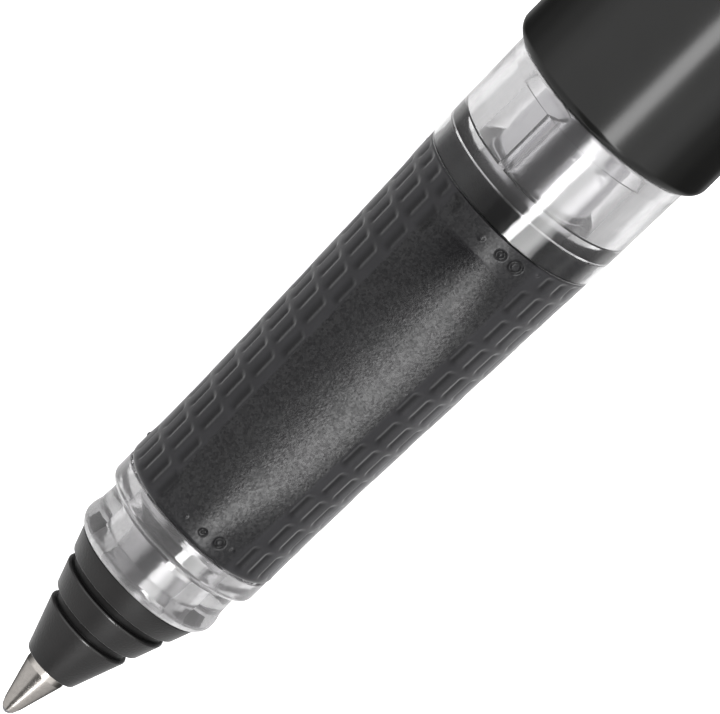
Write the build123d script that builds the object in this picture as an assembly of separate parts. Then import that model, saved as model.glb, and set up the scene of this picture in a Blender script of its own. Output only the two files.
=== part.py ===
from build123d import *
import math
import os

# Capped gel pen, shown with its cap posted on the tail.
# Millimetres. The origin is the writing point, on the pen's axis.
# +X runs from the writing point to the tail and +Z is up. The pen lies as it does
# on a table, on its barrel and on the edge of its clip.
# Every round piece is an outline of (x, radius) turned about the X axis.

AXIAL_GAP = 0.02        # gap between two faces that part when a joint moves
RUN = 0.06              # radial running clearance
SOFT_GAP = 0.02         # gap around the rubber pieces
JOIN = 0.1              # depth by which a rib or ridge runs into the wall it stands on

# writing ball and stainless point
BALL_D = 0.7
BALL_SHOWN = 0.22       # how far the ball stands out of its socket
POINT_LIP_R = 0.42
POINT_HALF_ANGLE = 15.0
SHANK_R = 1.15
SHANK_END = 11.0
SEAT_GAP = 0.02         # running clearance round the ball
DUCT_R = 0.18
DUCT_END = 1.9
POINT_BORE_R = 0.62
SPRING_WIRE_R = 0.06
SPRING_COIL_R = 0.5
SPRING_PITCH = 0.45
SPRING_START = 3.2
SPRING_LENGTH = 6.3

# refill
JOINER_FRONT = 5.3
JOINER_NOSE_R = 1.95
JOINER_STEP = 12.4
JOINER_TAPER = 1.1      # length of the cone between the joiner's two diameters
JOINER_EDGE_R = 0.3
JOINER_STOP = 0.3       # depth of the step behind the point's shank
TUBE_FRONT = 16.0
TUBE_R = 3.0
TUBE_BORE_R = 2.45
JOINER_END = 20.5
TUBE_END = 117.0
INK_END = 88.0
FOLLOWER_END = 94.0
STOPPER_LENGTH = 4.0
STOPPER_END = 118.0

# nose cone
NOSE_FRONT = 3.37
NOSE_REAR = 10.0
NOSE_SLOPE = 0.3483     # radius gained per millimetre of length
NOSE_APEX = -1.057      # where the cone's sides would meet
NOSE_EDGE_R = 0.18
GROOVES = ((6.25, 6.8), (8.23, 8.74))
GROOVE_DEPTH = 0.3
NOSE_SOCKET_FRONT = 7.2

# clear front section
SPIGOT_R = 2.55
LIP_FRONT = (10.25, 4.11)   # on the front arc of the lip
LIP_TOP = (10.7, 4.25)
LIP_BACK = (11.02, 4.21)    # on the rear arc of the lip
NECK_FRONT = (11.35, 4.11)
NECK_REAR = (12.8, 4.06)
FLANGE_R = 4.64
FLANGE_ROUND = 0.4
GRIP_FRONT = 14.2
GRIP_REAR = 36.8
SKIRT_REAR = 38.2       # the rubber's skirt runs on inside the rear collar
SKIRT_R = 5.04
CORE_FRONT_R = 3.85
CORE_REAR_R = 4.4
COLLAR_FRONT_R = 5.375
COLLAR_REAR_R = 5.545
COLLAR_REAR = 43.75
COLLAR_EDGE_R = 0.12
CHAMBER_FRONT = 38.9
CHAMBER_REAR = 42.5
CHAMBER_R = 3.8
REAR_BORE_R = 3.9
RIB_COUNT = 2
RIB_WIDTH = 0.3
RIB_TURN = -24.0        # first rib, degrees from +Z towards -Y

# screw joint between the section and the barrel
THREAD_R = 4.9
THREAD_ROOT_R = 4.65
THREAD_PITCH = 1.5
THREAD_TURNS = 4
THREAD_FLANK = 0.25
THREAD_CREST = 0.5
THREAD_FRONT = 47.0
SPIGOT_END = 53.4
SEAL_X = 45.2
SEAL_WIRE_R = 0.35

# rubber grip, radius against length along its barrel-shaped outside
GRIP_POINTS = ((16.5, 4.69), (21.2, 4.79), (26.35, 4.965), (31.5, 5.14), (36.0, 5.33))
GRIP_EDGE_R = 0.35

# barrel
BARREL_R = 6.25
LIP_ROUND = 0.68
BARREL_SOCKET_R = 4.97
BARREL_SOCKET_END = 54.5
BARREL_BORE_R = 4.5
POST_START = 108.0      # where the barrel steps down to take the posted cap
POST_R = 5.55
TAIL_BORE_R = 4.0
BARREL_TAPER = 4.0      # length of the bore's cone ahead of the step
STEP_ROUND = 0.3
TAIL_ROUND = 0.5
BARREL_END = 130.0
GUIDE_COUNT = 4
GUIDE_FRONT = POST_START
GUIDE_WIDTH = 0.8
GUIDE_TURN = 45.0
BUFFER_TAPER = 2.0
BUFFER_END = 122.5
PLUG_END = 131.2
PLUG_HEAD_R = 4.95
PLUG_ROUND = 0.8
VENT_R = 0.8

# cap, measured from its mouth
CAP_BORE_R = 5.6
SHELL_LENGTH = 50.0
CAP_LENGTH = 56.0
MOUTH_ROUND = 0.3
MOUTH_INNER_ROUND = 0.15
SHELL_END_ROUND = 0.2
LINER_MOUTH = 31.5
LINER_R = 5.1
LINER_SEAL_R = 4.27
LINER_LEAD = 0.5        # flare of the liner's mouth
LINER_RINGS = ((0.0, 2.5), (8.5, 10.5))     # rings that hold the liner in the shell
LINER_TAPER = 13.0      # where the liner starts to narrow to its closed end
LINER_TAPER_R = 4.2
LINER_FLOOR = 1.3
NOSE_ROOM = 0.15
PAD_DEPTH = COLLAR_REAR  # the pad meets the ball when the cap's mouth meets the barrel
PAD_THICK = 1.8
PAD_R = 1.6
PAD_ROUND = 0.3
CROWN_FACE_R = 4.2
CROWN_END_R = 5.9
CROWN_PLUG = 1.2        # how far the crown reaches into the shell
CROWN_BORE_R = 4.5
CROWN_TOP = 1.4         # thickness of the crown's end
CROWN_RING = 0.35       # width of the groove where the crown meets the shell
CROWN_RING_DEPTH = 0.25

# clip, measured from the cap's mouth and from the pen's axis
CLIP_TIP = 12.0
CLIP_ROOT = 49.4
CLIP_WIDTH = 4.2
CLIP_INNER = 7.55
CLIP_OUTER = 8.85
CLIP_REST = 6.31
TAB_FRONT = 45.4
TAB_REAR = 48.2
TAB_WIDTH = 3.2
TAB_DEPTH = 5.35
CLIP_FOOT = 6.34        # underside of the clip's root
CLIP_LONG_EDGE = 0.5
CLIP_BUMP = (1.9, 3.7, 6.2)     # the bump's front, its rear and where it meets the arm
CLIP_LEAD = 0.4
FOOT_START = 1.4        # from the foot's front edge to the tab
ARM_END = 2.6           # from the end of the free arm to the tab
SLOT_GAP = 0.25
CLIP_ROLL = -121.7      # turns the clip from +Z until its edge is level with the barrel

CAP_X = POST_START + AXIAL_GAP


def turned(points, rounds=()):
    """Solid of revolution about X, with some corners of its outline rounded."""
    face = make_face(Polyline(*points, close=True))
    for corner, radius in rounds:
        vertex = face.vertices().sort_by_distance(Vector(*corner, 0))[0]
        face = fillet(vertex, radius)
    return revolve(face, Axis.X)


def ring(x0, x1, r_out, r_in):
    """Plain tube along X."""
    return turned(((x0, r_in), (x0, r_out), (x1, r_out), (x1, r_in)))


def rod(x0, x1, r):
    """Plain cylinder along X."""
    return turned(((x0, 0), (x0, r), (x1, r), (x1, 0)))


def ribs(x0, x1, r_out, r_in, width, count, first):
    """Radial ribs evenly spaced around X, between two radii."""
    zone = ring(x0, x1, r_out, r_in)
    web = Box(x1 - x0, width, r_out, align=(Align.MIN, Align.CENTER, Align.MIN))
    blades = [Rot(first + 360 * i / count, 0, 0) * Pos(x0, 0, 0) * web for i in range(count)]
    return Part() + [zone & blade for blade in blades]


def nose_r(x):
    """Outside radius of the nose cone."""
    return NOSE_SLOPE * (x - NOSE_APEX)


def core_r(x):
    """Outside radius of the section's core under the rubber."""
    along = (x - GRIP_FRONT) / (GRIP_REAR - GRIP_FRONT)
    return CORE_FRONT_R + along * (CORE_REAR_R - CORE_FRONT_R)


def writing_ball():
    return Pos(BALL_D / 2, 0, 0) * Sphere(BALL_D / 2)


def tip_socket():
    cone_end = BALL_SHOWN + (SHANK_R - POINT_LIP_R) / math.tan(math.radians(POINT_HALF_ANGLE))
    body = turned((
        (BALL_SHOWN, 0),
        (BALL_SHOWN, POINT_LIP_R),
        (cone_end, SHANK_R),
        (SHANK_END, SHANK_R),
        (SHANK_END, 0),
    ))
    duct = rod(BALL_D / 2, DUCT_END + 1, DUCT_R)
    bore = rod(DUCT_END, SHANK_END, POINT_BORE_R)
    seat = Pos(BALL_D / 2, 0, 0) * Sphere(BALL_D / 2 + SEAT_GAP)
    return body - seat - duct - bore


def tip_spring():
    path = Pos(SPRING_START, 0, 0) * Rot(0, 90, 0) * Helix(SPRING_PITCH, SPRING_LENGTH, SPRING_COIL_R)
    wire = Plane(origin=path @ 0, z_dir=path % 0) * Circle(SPRING_WIRE_R)
    return sweep(wire, path=path)


def refill_joiner():
    stop_r = SHANK_R - JOINER_STOP
    return turned(
        (
            (JOINER_FRONT, SHANK_R),
            (JOINER_FRONT, JOINER_NOSE_R),
            (JOINER_STEP, JOINER_NOSE_R),
            (JOINER_STEP + JOINER_TAPER, TUBE_R),
            (TUBE_FRONT, TUBE_R),
            (TUBE_FRONT, TUBE_BORE_R),
            (JOINER_END, TUBE_BORE_R),
            (JOINER_END, SHANK_R),
            (SHANK_END + 2, stop_r),
            (SHANK_END, stop_r),
            (SHANK_END, SHANK_R),
        ),
        (((JOINER_FRONT, JOINER_NOSE_R), JOINER_EDGE_R),),
    )


def refill_tube():
    return ring(TUBE_FRONT, TUBE_END, TUBE_R, TUBE_BORE_R)


def ink_column():
    return rod(JOINER_END, INK_END, TUBE_BORE_R)


def ink_follower():
    return rod(INK_END, FOLLOWER_END, TUBE_BORE_R)


def refill_stopper():
    plug = ring(TUBE_END - STOPPER_LENGTH, TUBE_END, TUBE_BORE_R, VENT_R)
    return plug + ring(TUBE_END, STOPPER_END, TUBE_R, VENT_R)


def nose_cone():
    shank_hole_r = SHANK_R + RUN
    joiner_hole_r = JOINER_NOSE_R + RUN
    outside = [(NOSE_FRONT, nose_r(NOSE_FRONT))]
    for front, rear in GROOVES:
        outside.append((front, nose_r(front)))
        outside.append((front, nose_r(front) - GROOVE_DEPTH))
        outside.append((rear, nose_r(rear) - GROOVE_DEPTH))
        outside.append((rear, nose_r(rear)))
    outside.append((NOSE_REAR, nose_r(NOSE_REAR)))
    inside = [
        (NOSE_REAR, SPIGOT_R),
        (NOSE_SOCKET_FRONT, SPIGOT_R),
        (NOSE_SOCKET_FRONT, joiner_hole_r),
        (JOINER_FRONT - AXIAL_GAP, joiner_hole_r),
        (JOINER_FRONT - AXIAL_GAP, shank_hole_r),
        (NOSE_FRONT, shank_hole_r),
    ]
    edge = ((NOSE_FRONT, nose_r(NOSE_FRONT)), NOSE_EDGE_R)
    return turned(outside + inside, (edge,))


def thread_ridge(front):
    """One ridge of the screw joint, from its front foot."""
    rear = front + THREAD_CREST + 2 * THREAD_FLANK
    return turned((
        (front, THREAD_ROOT_R - JOIN),
        (front, THREAD_ROOT_R),
        (front + THREAD_FLANK, THREAD_R),
        (rear - THREAD_FLANK, THREAD_R),
        (rear, THREAD_ROOT_R),
        (rear, THREAD_ROOT_R - JOIN),
    ))


def front_section():
    seal_r = SEAL_WIRE_R + SOFT_GAP
    lip = [
        Line((NOSE_SOCKET_FRONT, SPIGOT_R), (NOSE_REAR, SPIGOT_R)),
        Line((NOSE_REAR, SPIGOT_R), (NOSE_REAR, nose_r(NOSE_REAR))),
        ThreePointArc((NOSE_REAR, nose_r(NOSE_REAR)), LIP_FRONT, LIP_TOP),
        ThreePointArc(LIP_TOP, LIP_BACK, NECK_FRONT),
        Line(NECK_FRONT, NECK_REAR),
    ]
    behind = Polyline(
        NECK_REAR,
        (NECK_REAR[0], FLANGE_R),
        (GRIP_FRONT, FLANGE_R),
        (GRIP_FRONT, core_r(GRIP_FRONT)),
        (SKIRT_REAR, core_r(SKIRT_REAR)),
        (SKIRT_REAR, SKIRT_R),
        (GRIP_REAR, SKIRT_R),
        (GRIP_REAR, COLLAR_FRONT_R),
        (COLLAR_REAR, COLLAR_REAR_R),
        (COLLAR_REAR, THREAD_ROOT_R),
        (SPIGOT_END, THREAD_ROOT_R),
        (SPIGOT_END, REAR_BORE_R),
        (CHAMBER_REAR, REAR_BORE_R),
        (CHAMBER_REAR, CHAMBER_R),
        (CHAMBER_FRONT, CHAMBER_R),
        (CHAMBER_FRONT, TUBE_R + RUN),
        (JOINER_STEP - AXIAL_GAP, TUBE_R + RUN),
        (JOINER_STEP - AXIAL_GAP, JOINER_NOSE_R + RUN),
        (NOSE_SOCKET_FRONT, JOINER_NOSE_R + RUN),
        (NOSE_SOCKET_FRONT, SPIGOT_R),
    )
    face = make_face(lip + behind.edges())
    for corner, radius in (
        ((NECK_REAR[0], FLANGE_R), FLANGE_ROUND),
        ((GRIP_REAR, COLLAR_FRONT_R), COLLAR_EDGE_R),
        ((COLLAR_REAR, COLLAR_REAR_R), COLLAR_EDGE_R),
    ):
        vertex = face.vertices().sort_by_distance(Vector(*corner, 0))[0]
        face = fillet(vertex, radius)
    body = revolve(face, Axis.X)
    for turn in range(THREAD_TURNS):
        body += thread_ridge(THREAD_FRONT + turn * THREAD_PITCH)
    body -= ring(SEAL_X - seal_r, SEAL_X + seal_r, THREAD_R, THREAD_R - 2 * SEAL_WIRE_R)
    rib_top_r = CHAMBER_R + JOIN
    body += ribs(CHAMBER_FRONT, CHAMBER_REAR, rib_top_r, TUBE_R + RUN, RIB_WIDTH, RIB_COUNT, RIB_TURN)
    return body


def section_seal():
    ring_r = THREAD_R + SOFT_GAP - SEAL_WIRE_R
    return Pos(SEAL_X, 0, 0) * Rot(0, 90, 0) * Torus(ring_r, SEAL_WIRE_R)


def rubber_grip():
    front = GRIP_FRONT + SOFT_GAP
    neck = GRIP_REAR - SOFT_GAP
    rear = SKIRT_REAR - SOFT_GAP
    skirt_r = SKIRT_R - SOFT_GAP
    corner = (front + GRIP_EDGE_R, GRIP_POINTS[0][1])
    outside = Spline(corner, *GRIP_POINTS)
    edges = [
        Line((front, core_r(front) + SOFT_GAP), (front, corner[1] - GRIP_EDGE_R)),
        RadiusArc((front, corner[1] - GRIP_EDGE_R), corner, GRIP_EDGE_R),
        outside,
        Line(GRIP_POINTS[-1], (neck, GRIP_POINTS[-1][1])),
        Line((neck, GRIP_POINTS[-1][1]), (neck, skirt_r)),
        Line((neck, skirt_r), (rear, skirt_r)),
        Line((rear, skirt_r), (rear, core_r(rear) + SOFT_GAP)),
        Line((rear, core_r(rear) + SOFT_GAP), (front, core_r(front) + SOFT_GAP)),
    ]
    return revolve(make_face(edges), Axis.X)


def barrel():
    front = COLLAR_REAR + AXIAL_GAP
    body = turned(
        (
            (front, BARREL_SOCKET_R),
            (front, BARREL_R),
            (POST_START, BARREL_R),
            (POST_START, POST_R),
            (BARREL_END, POST_R),
            (BARREL_END, TAIL_BORE_R),
            (POST_START, TAIL_BORE_R),
            (POST_START - BARREL_TAPER, BARREL_BORE_R),
            (BARREL_SOCKET_END, BARREL_BORE_R),
            (BARREL_SOCKET_END, BARREL_SOCKET_R),
        ),
        (
            ((front, BARREL_R), LIP_ROUND),
            ((POST_START, BARREL_R), STEP_ROUND),
            ((BARREL_END, POST_R), TAIL_ROUND),
        ),
    )
    guide_r = TUBE_R + RUN
    guides = ribs(GUIDE_FRONT, TUBE_END, TAIL_BORE_R + JOIN, guide_r, GUIDE_WIDTH, GUIDE_COUNT, GUIDE_TURN)
    return body + guides


def refill_buffer():
    front = STOPPER_END + SOFT_GAP
    return turned(
        (
            (front, VENT_R),
            (front, TUBE_BORE_R),
            (front + BUFFER_TAPER, TAIL_BORE_R - SOFT_GAP),
            (BUFFER_END, TAIL_BORE_R - SOFT_GAP),
            (BUFFER_END, VENT_R),
        ),
    )


def barrel_tail_plug():
    return turned(
        (
            (BUFFER_END + SOFT_GAP, VENT_R),
            (BUFFER_END + SOFT_GAP, TAIL_BORE_R),
            (BARREL_END, TAIL_BORE_R),
            (BARREL_END, PLUG_HEAD_R),
            (PLUG_END, PLUG_HEAD_R),
            (PLUG_END, VENT_R),
        ),
        (((PLUG_END, PLUG_HEAD_R), PLUG_ROUND),),
    )


def cap_shell():
    body = turned(
        (
            (CAP_X, CAP_BORE_R),
            (CAP_X, BARREL_R),
            (CAP_X + SHELL_LENGTH, BARREL_R),
            (CAP_X + SHELL_LENGTH, CAP_BORE_R),
        ),
        (
            ((CAP_X, BARREL_R), MOUTH_ROUND),
            ((CAP_X, CAP_BORE_R), MOUTH_INNER_ROUND),
            ((CAP_X + SHELL_LENGTH, BARREL_R), SHELL_END_ROUND),
        ),
    )
    slot = Pos(CAP_X + TAB_FRONT - SLOT_GAP, 0, 0) * Box(
        TAB_REAR - TAB_FRONT + 2 * SLOT_GAP,
        TAB_WIDTH + 2 * SLOT_GAP,
        2 * BARREL_R,
        align=(Align.MIN, Align.CENTER, Align.MIN),
    )
    return body - Rot(CLIP_ROLL, 0, 0) * slot


def cap_liner():
    mouth = CAP_X + LINER_MOUTH
    nose_start = CAP_X + COLLAR_REAR - NOSE_REAR
    nose_end = CAP_X + COLLAR_REAR - NOSE_FRONT
    pad_end = CAP_X + PAD_DEPTH + PAD_THICK
    outside = []
    for ring_front, ring_rear in LINER_RINGS:
        outside.append((mouth + ring_front, LINER_R))
        outside.append((mouth + ring_front, CAP_BORE_R))
        outside.append((mouth + ring_rear, CAP_BORE_R))
        outside.append((mouth + ring_rear, LINER_R))
    return turned([
        *outside,
        (mouth + LINER_TAPER, LINER_TAPER_R),
        (pad_end + LINER_FLOOR, PAD_R + LINER_FLOOR),
        (pad_end + LINER_FLOOR, 0),
        (pad_end, 0),
        (pad_end, PAD_R),
        (nose_end, PAD_R),
        (nose_start + LINER_LEAD, nose_r(NOSE_REAR) + NOSE_ROOM),
        (nose_start, LINER_SEAL_R),
        (nose_start - 2 * LINER_LEAD, LINER_SEAL_R),
        (mouth, LINER_SEAL_R + LINER_LEAD),
    ])


def cap_tip_pad():
    front = CAP_X + PAD_DEPTH
    back = front + PAD_THICK - SOFT_GAP
    return turned(
        ((front, 0), (front, PAD_R - SOFT_GAP), (back, PAD_R - SOFT_GAP), (back, 0)),
        (((front, PAD_R - SOFT_GAP), PAD_ROUND),),
    )


def cap_crown():
    joint = CAP_X + SHELL_LENGTH
    end = CAP_X + CAP_LENGTH
    return turned(
        (
            (joint - CROWN_PLUG, CROWN_BORE_R),
            (joint - CROWN_PLUG, CAP_BORE_R),
            (joint, CAP_BORE_R),
            (joint, BARREL_R - CROWN_RING_DEPTH),
            (joint + CROWN_RING, BARREL_R - CROWN_RING_DEPTH),
            (joint + CROWN_RING, BARREL_R),
            (end, CROWN_END_R),
            (end, 0),
            (end - CROWN_TOP, 0),
            (end - CROWN_TOP, CROWN_BORE_R),
        ),
        (((end, CROWN_END_R), CROWN_END_R - CROWN_FACE_R),),
    )


def pocket_clip():
    tip = CAP_X + CLIP_TIP
    root = CAP_X + CLIP_ROOT
    bump_front, bump_rear, arm_start = (tip + reach for reach in CLIP_BUMP)
    arm_end = CAP_X + TAB_FRONT - ARM_END
    foot_start = CAP_X + TAB_FRONT - FOOT_START
    side = make_face(Polyline(
        (tip, CLIP_OUTER),
        (tip + CLIP_LEAD, CLIP_INNER),
        (bump_front, CLIP_REST),
        (bump_rear, CLIP_REST),
        (arm_start, CLIP_INNER),
        (arm_end, CLIP_INNER),
        (foot_start, CLIP_FOOT),
        (root, CLIP_FOOT),
        (root, CLIP_OUTER),
        close=True,
    ))
    for corner, radius in (
        ((tip, CLIP_OUTER), 0.5),
        ((bump_front, CLIP_REST), 1.0),
        ((bump_rear, CLIP_REST), 1.0),
        ((arm_start, CLIP_INNER), 1.2),
        ((arm_end, CLIP_INNER), 0.6),
        ((root, CLIP_OUTER), 1.8),
    ):
        vertex = side.vertices().sort_by_distance(Vector(*corner, 0))[0]
        side = fillet(vertex, radius)
    arm = extrude(Rot(90, 0, 0) * side, amount=CLIP_WIDTH / 2, both=True)
    long_edges = arm.edges().filter_by(Axis.X).group_by(Axis.Z)[-1]
    arm = fillet(long_edges, CLIP_LONG_EDGE)
    tab = Pos(CAP_X + TAB_FRONT, 0, TAB_DEPTH) * Box(
        TAB_REAR - TAB_FRONT,
        TAB_WIDTH,
        CLIP_INNER - TAB_DEPTH,
        align=(Align.MIN, Align.CENTER, Align.MIN),
    )
    return Rot(CLIP_ROLL, 0, 0) * (arm + tab)


PIECES = (
    writing_ball,
    tip_socket,
    tip_spring,
    refill_joiner,
    refill_tube,
    ink_column,
    ink_follower,
    refill_stopper,
    nose_cone,
    front_section,
    section_seal,
    rubber_grip,
    barrel,
    refill_buffer,
    barrel_tail_plug,
    cap_shell,
    cap_liner,
    cap_tip_pad,
    cap_crown,
    pocket_clip,
)

os.makedirs("parts", exist_ok=True)
for piece in PIECES:
    solid = piece()
    solid.label = piece.__name__
    export_step(solid, f"parts/{piece.__name__}.step")
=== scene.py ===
import math

import bmesh
import bpy
import numpy as np
from mathutils import Matrix, Vector


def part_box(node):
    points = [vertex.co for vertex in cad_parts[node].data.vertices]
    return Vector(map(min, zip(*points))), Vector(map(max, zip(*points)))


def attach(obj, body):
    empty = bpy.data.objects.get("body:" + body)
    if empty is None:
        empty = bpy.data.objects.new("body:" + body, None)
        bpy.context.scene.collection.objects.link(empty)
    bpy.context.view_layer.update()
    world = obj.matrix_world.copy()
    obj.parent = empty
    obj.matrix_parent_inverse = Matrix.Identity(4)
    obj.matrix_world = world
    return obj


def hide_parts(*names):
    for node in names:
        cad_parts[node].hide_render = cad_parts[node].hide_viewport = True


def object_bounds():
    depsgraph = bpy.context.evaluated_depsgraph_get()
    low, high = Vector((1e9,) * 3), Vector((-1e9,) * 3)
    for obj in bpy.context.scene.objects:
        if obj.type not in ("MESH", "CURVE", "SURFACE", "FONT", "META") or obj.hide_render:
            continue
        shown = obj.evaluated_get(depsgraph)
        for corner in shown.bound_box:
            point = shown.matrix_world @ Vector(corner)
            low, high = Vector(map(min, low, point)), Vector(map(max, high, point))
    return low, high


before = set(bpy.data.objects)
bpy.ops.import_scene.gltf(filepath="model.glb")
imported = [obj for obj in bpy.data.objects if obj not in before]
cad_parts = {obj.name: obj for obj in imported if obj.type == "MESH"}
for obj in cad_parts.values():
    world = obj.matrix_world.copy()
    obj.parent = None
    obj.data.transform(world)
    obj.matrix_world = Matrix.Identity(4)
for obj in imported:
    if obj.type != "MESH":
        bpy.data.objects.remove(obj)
cad_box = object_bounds()

# The looks of a capped gel pen around its CAD frame. The axis is X, from the writing
# point to the tail. Outlines are (x, radius) or (x, radius, arc radius of that corner) in
# millimetres, and become metres in lathe(). Angles round the pen run from +Z towards -Y,
# which is the camera's lower right.

MM = 0.001
ROUND = 256             # segments of a turned piece
THIN_ROUND = 160        # and of a thin one
BALL_ROUND = 96
RIBBED_ROUND = 384      # and of the clear section, whose ribs are narrow
ARC_STEPS = 7           # segments of a rounded corner
WELD = 1e-7             # points nearer than this are one point, in metres
SLIVER = 1e-8           # and edges shorter than this are dropped


def span(node):
    """(front x, rear x, outside radius) of a CAD node, in millimetres."""
    low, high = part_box(node)
    return low.x / MM, high.x / MM, high.z / MM


NOSE_FRONT, NOSE_REAR, NOSE_R = span("nose_cone")
SECTION_FRONT, SECTION_END, SECTION_R = span("front_section")
GRIP_FRONT, SKIRT_REAR, _ = span("rubber_grip")
BARREL_FRONT, BARREL_END, BARREL_R = span("barrel")
_, CAP_JOINT, CAP_R = span("cap_shell")
CROWN_FRONT, CROWN_END, _ = span("cap_crown")
TUBE_FRONT, TUBE_END, TUBE_R = span("refill_tube")
JOINER_FRONT, JOINER_END, JOINER_R = span("refill_joiner")
POINT_FRONT, SHANK_END, SHANK_R = span("tip_socket")
BALL_FRONT, BALL_REAR, BALL_R = span("writing_ball")
PLUG_FRONT, PLUG_END, PLUG_R = span("barrel_tail_plug")

# gaps between neighbours
TOUCH_GAP = 0.01        # between parts that are pressed together
RUBBER_GAP = 0.02       # round the rubber sleeve
REFILL_GAP = 0.06       # round the refill, which can be drawn out

# writing point
POINT_TAPER = math.tan(math.radians(15))
POINT_CONE_R = 0.42     # the cone's radius if it ran on to the point's front
POINT_LIP_END = 0.6     # the lip in front of this is slimmer than the cone
POINT_LIP_R = 0.36
POINT_MOUTH_R = 0.34
SEAT_FRONT = 0.52       # the ball's seat narrows from here
SEAT_R = 0.36
SEAT_REAR = 0.72        # to here, where the ink hole starts
INK_HOLE_R = 0.18
SPRING_HOLE_FRONT = 1.9
SPRING_HOLE_R = 0.62

# nose cone
NOSE_SLOPE = 0.3483     # radius gained per millimetre towards the tail
NOSE_GROOVES = ((6.25, 6.8), (8.23, 8.74))
GROOVE_DEPTH = 0.3
GROOVE_REACH = 0.7      # how far the painted shade of a groove reaches
EDGE_POLISH = 0.07      # half width of the worn, shiny line along a groove's front edge
EDGE_POLISH_LEAD = 0.06     # and how far in front of the edge its middle is
SPIGOT_R = 2.55

# clear section
LIP_X = 10.7
LIP_R = 4.25
LIP_RISE = (10.25, 4.11)        # a point on the arc up to the lip's crest
LIP_FALL = (11.02, 4.21)        # and one on the arc down from it
NECK_FRONT_X = 11.35
NECK_FRONT_R = 4.11
NECK_REAR_X = 12.8
NECK_R = 4.06
FLANGE_R = 4.64
FLANGE_REAR = 14.2
CORE_FRONT_R = 3.85
CORE_REAR_R = 4.4
COLLAR_FRONT = 36.8
COLLAR_FRONT_R = 5.375
COLLAR_REAR = 43.75
SKIRT_R = 5.04
CHAMBER_FRONT = 38.9
CHAMBER_REAR = 42.5
CHAMBER_R = 3.8
REAR_BORE_R = 3.9
THREAD_ROOT_R = 4.65
THREAD_R = 4.9
THREAD_FRONT = 47.0
THREAD_PITCH = 1.5
THREAD_TURNS = 4
THREAD_FLANK = 0.25     # length of a ridge's slope
THREAD_CREST = 0.5      # and of its flat top
RIB_TURN = -24.0
RIB_EVERY = 180.0
RIB_HALF_WIDTH = 0.15
TUBE_HOLE_R = TUBE_R + REFILL_GAP
TUBE_HOLE_FRONT = 12.38
JOINER_HOLE_R = 2.01

# refill
JOINER_SLOPE_FRONT = 12.4
JOINER_SLOPE_REAR = 13.5
JOINER_NOSE_R = JOINER_HOLE_R - REFILL_GAP
SHANK_STOP_LENGTH = 0.05        # the ring in the joiner that stops the point's shank
SHANK_STOP_HEIGHT = 0.3
TUBE_BORE_R = 2.45

# grip: its outside is a smooth curve through these (x, radius) points
GRIP_CURVE = (
    (14.57, 4.69), (16.5, 4.69), (21.2, 4.79), (26.35, 4.965), (31.5, 5.14), (36.0, 5.33), (36.78, 5.33),
)
GRIP_CURVE_DEGREE = 4
GRIP_MEAN_R = 4.95
GRIP_BEVEL = 0.02
GRIP_COLUMNS = 640
GRIP_ROW = 0.055        # length of a mesh row
GRIP_EDGE_STEPS = 8
GRAIN_SEED = 11

# grip texture
PAD_TURN = 3.6          # middle of the pad that faces the camera
PAD_EVERY = 120.0
PAD_HALF_ANGLE = 34.5
PAD_MIDDLE = 25.4
PAD_HALF_LENGTH = 9.85
PAD_DEPTH = 0.54
PAD_RIM_DEPTH = 0.04    # the grain is full where the pad is this deep
SLOT_FIRST = 15.48
SLOT_PITCH = 1.909
SLOT_LAST = 11          # the last column, which is cut short at the collar
SLOT_ROW = 12.0         # degrees between slots of one column
SLOT_FIRST_ROW = 39.0   # degrees from the pad's middle to a slot, in every second column
SLOT_NEAREST = 37.0     # slots nearer to the pad's middle than this are left out
END_SLOT_NEAREST = 31.0         # but the pad is narrower in the first and last full columns
CUT_SLOT_NEAREST = 25.0         # and in the cut one
CUT_SLOT_SHIFT = 0.31
CUT_SLOT_HALF_LENGTH = 0.4
SLOT_HALF_LENGTH = 0.72
SLOT_HALF_WIDTH = 0.25
SLOT_CORNER = 0.2
SLOT_DEPTH = 0.15
SLOT_WALL = 0.46
GRAIN_HEIGHT = 0.002
END_GRAIN = 0.8         # share of the pad's grain between its ends and the sleeve's
DENT_SHADE = 0.6        # painted shade: how much darker a slot's floor and a ring's groove are coloured than the band round them
GRIP_DOTS = (
    # x, degrees from the pad's middle, outer radius, ring or plain dot
    (15.1, -9.6, 0.13, False),
    (15.1, 4.4, 0.2, True),
    (15.25, 16.7, 0.3, True),
    (15.37, 26.0, 0.16, False),
    (36.05, -3.1, 0.2, False),
    (36.05, 11.0, 0.26, True),
    (36.05, 21.9, 0.36, True),
    (36.4, 35.0, 0.16, False),
)
RING_INSET = 0.06       # from a ring's outer radius to its deepest circle
RING_HALF_WIDTH = 0.13
RING_DEPTH = 0.1
DOT_HEIGHT = 0.06
DOT_FLAT = 0.4          # share of a dot's radius that is flat

# barrel and cap
POST_START = 108.0
POST_R = 5.55
POST_BORE_R = 4.0
BARREL_SLIM = 0.07      # how much slimmer the barrel is drawn than its CAD node
BARREL_BORE_R = 4.5
BARREL_BORE_TAPER = 4.0
BARREL_SOCKET_R = 4.97
BARREL_SOCKET_END = 54.5
VENT_R = 0.8
CAP_BORE_R = 5.6
CROWN_BORE_R = 4.5
CROWN_END_WALL = 1.4
CROWN_GROOVE_LENGTH = 0.35      # the groove between the cap's tube and its crown
CROWN_GROOVE_DEPTH = 0.25
CROWN_TAPER = 0.35
CROWN_ROUND = 1.65

# camera, at angles that give the rings round the pen their right roundness
LEAN = math.radians(15.7)       # the tail's lean towards the camera
SLANT = math.radians(44.86)     # the pen's slope across the picture
VIEW_WIDTH = 35.57 * MM
VIEW_CENTRE_X = 25.86 * MM
VIEW_SHIFT = -0.008 * MM
CAMERA_FAR = 1.5
CLIP_START = 0.01
CLIP_END = 100.0
SENSOR = 36.0

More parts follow.
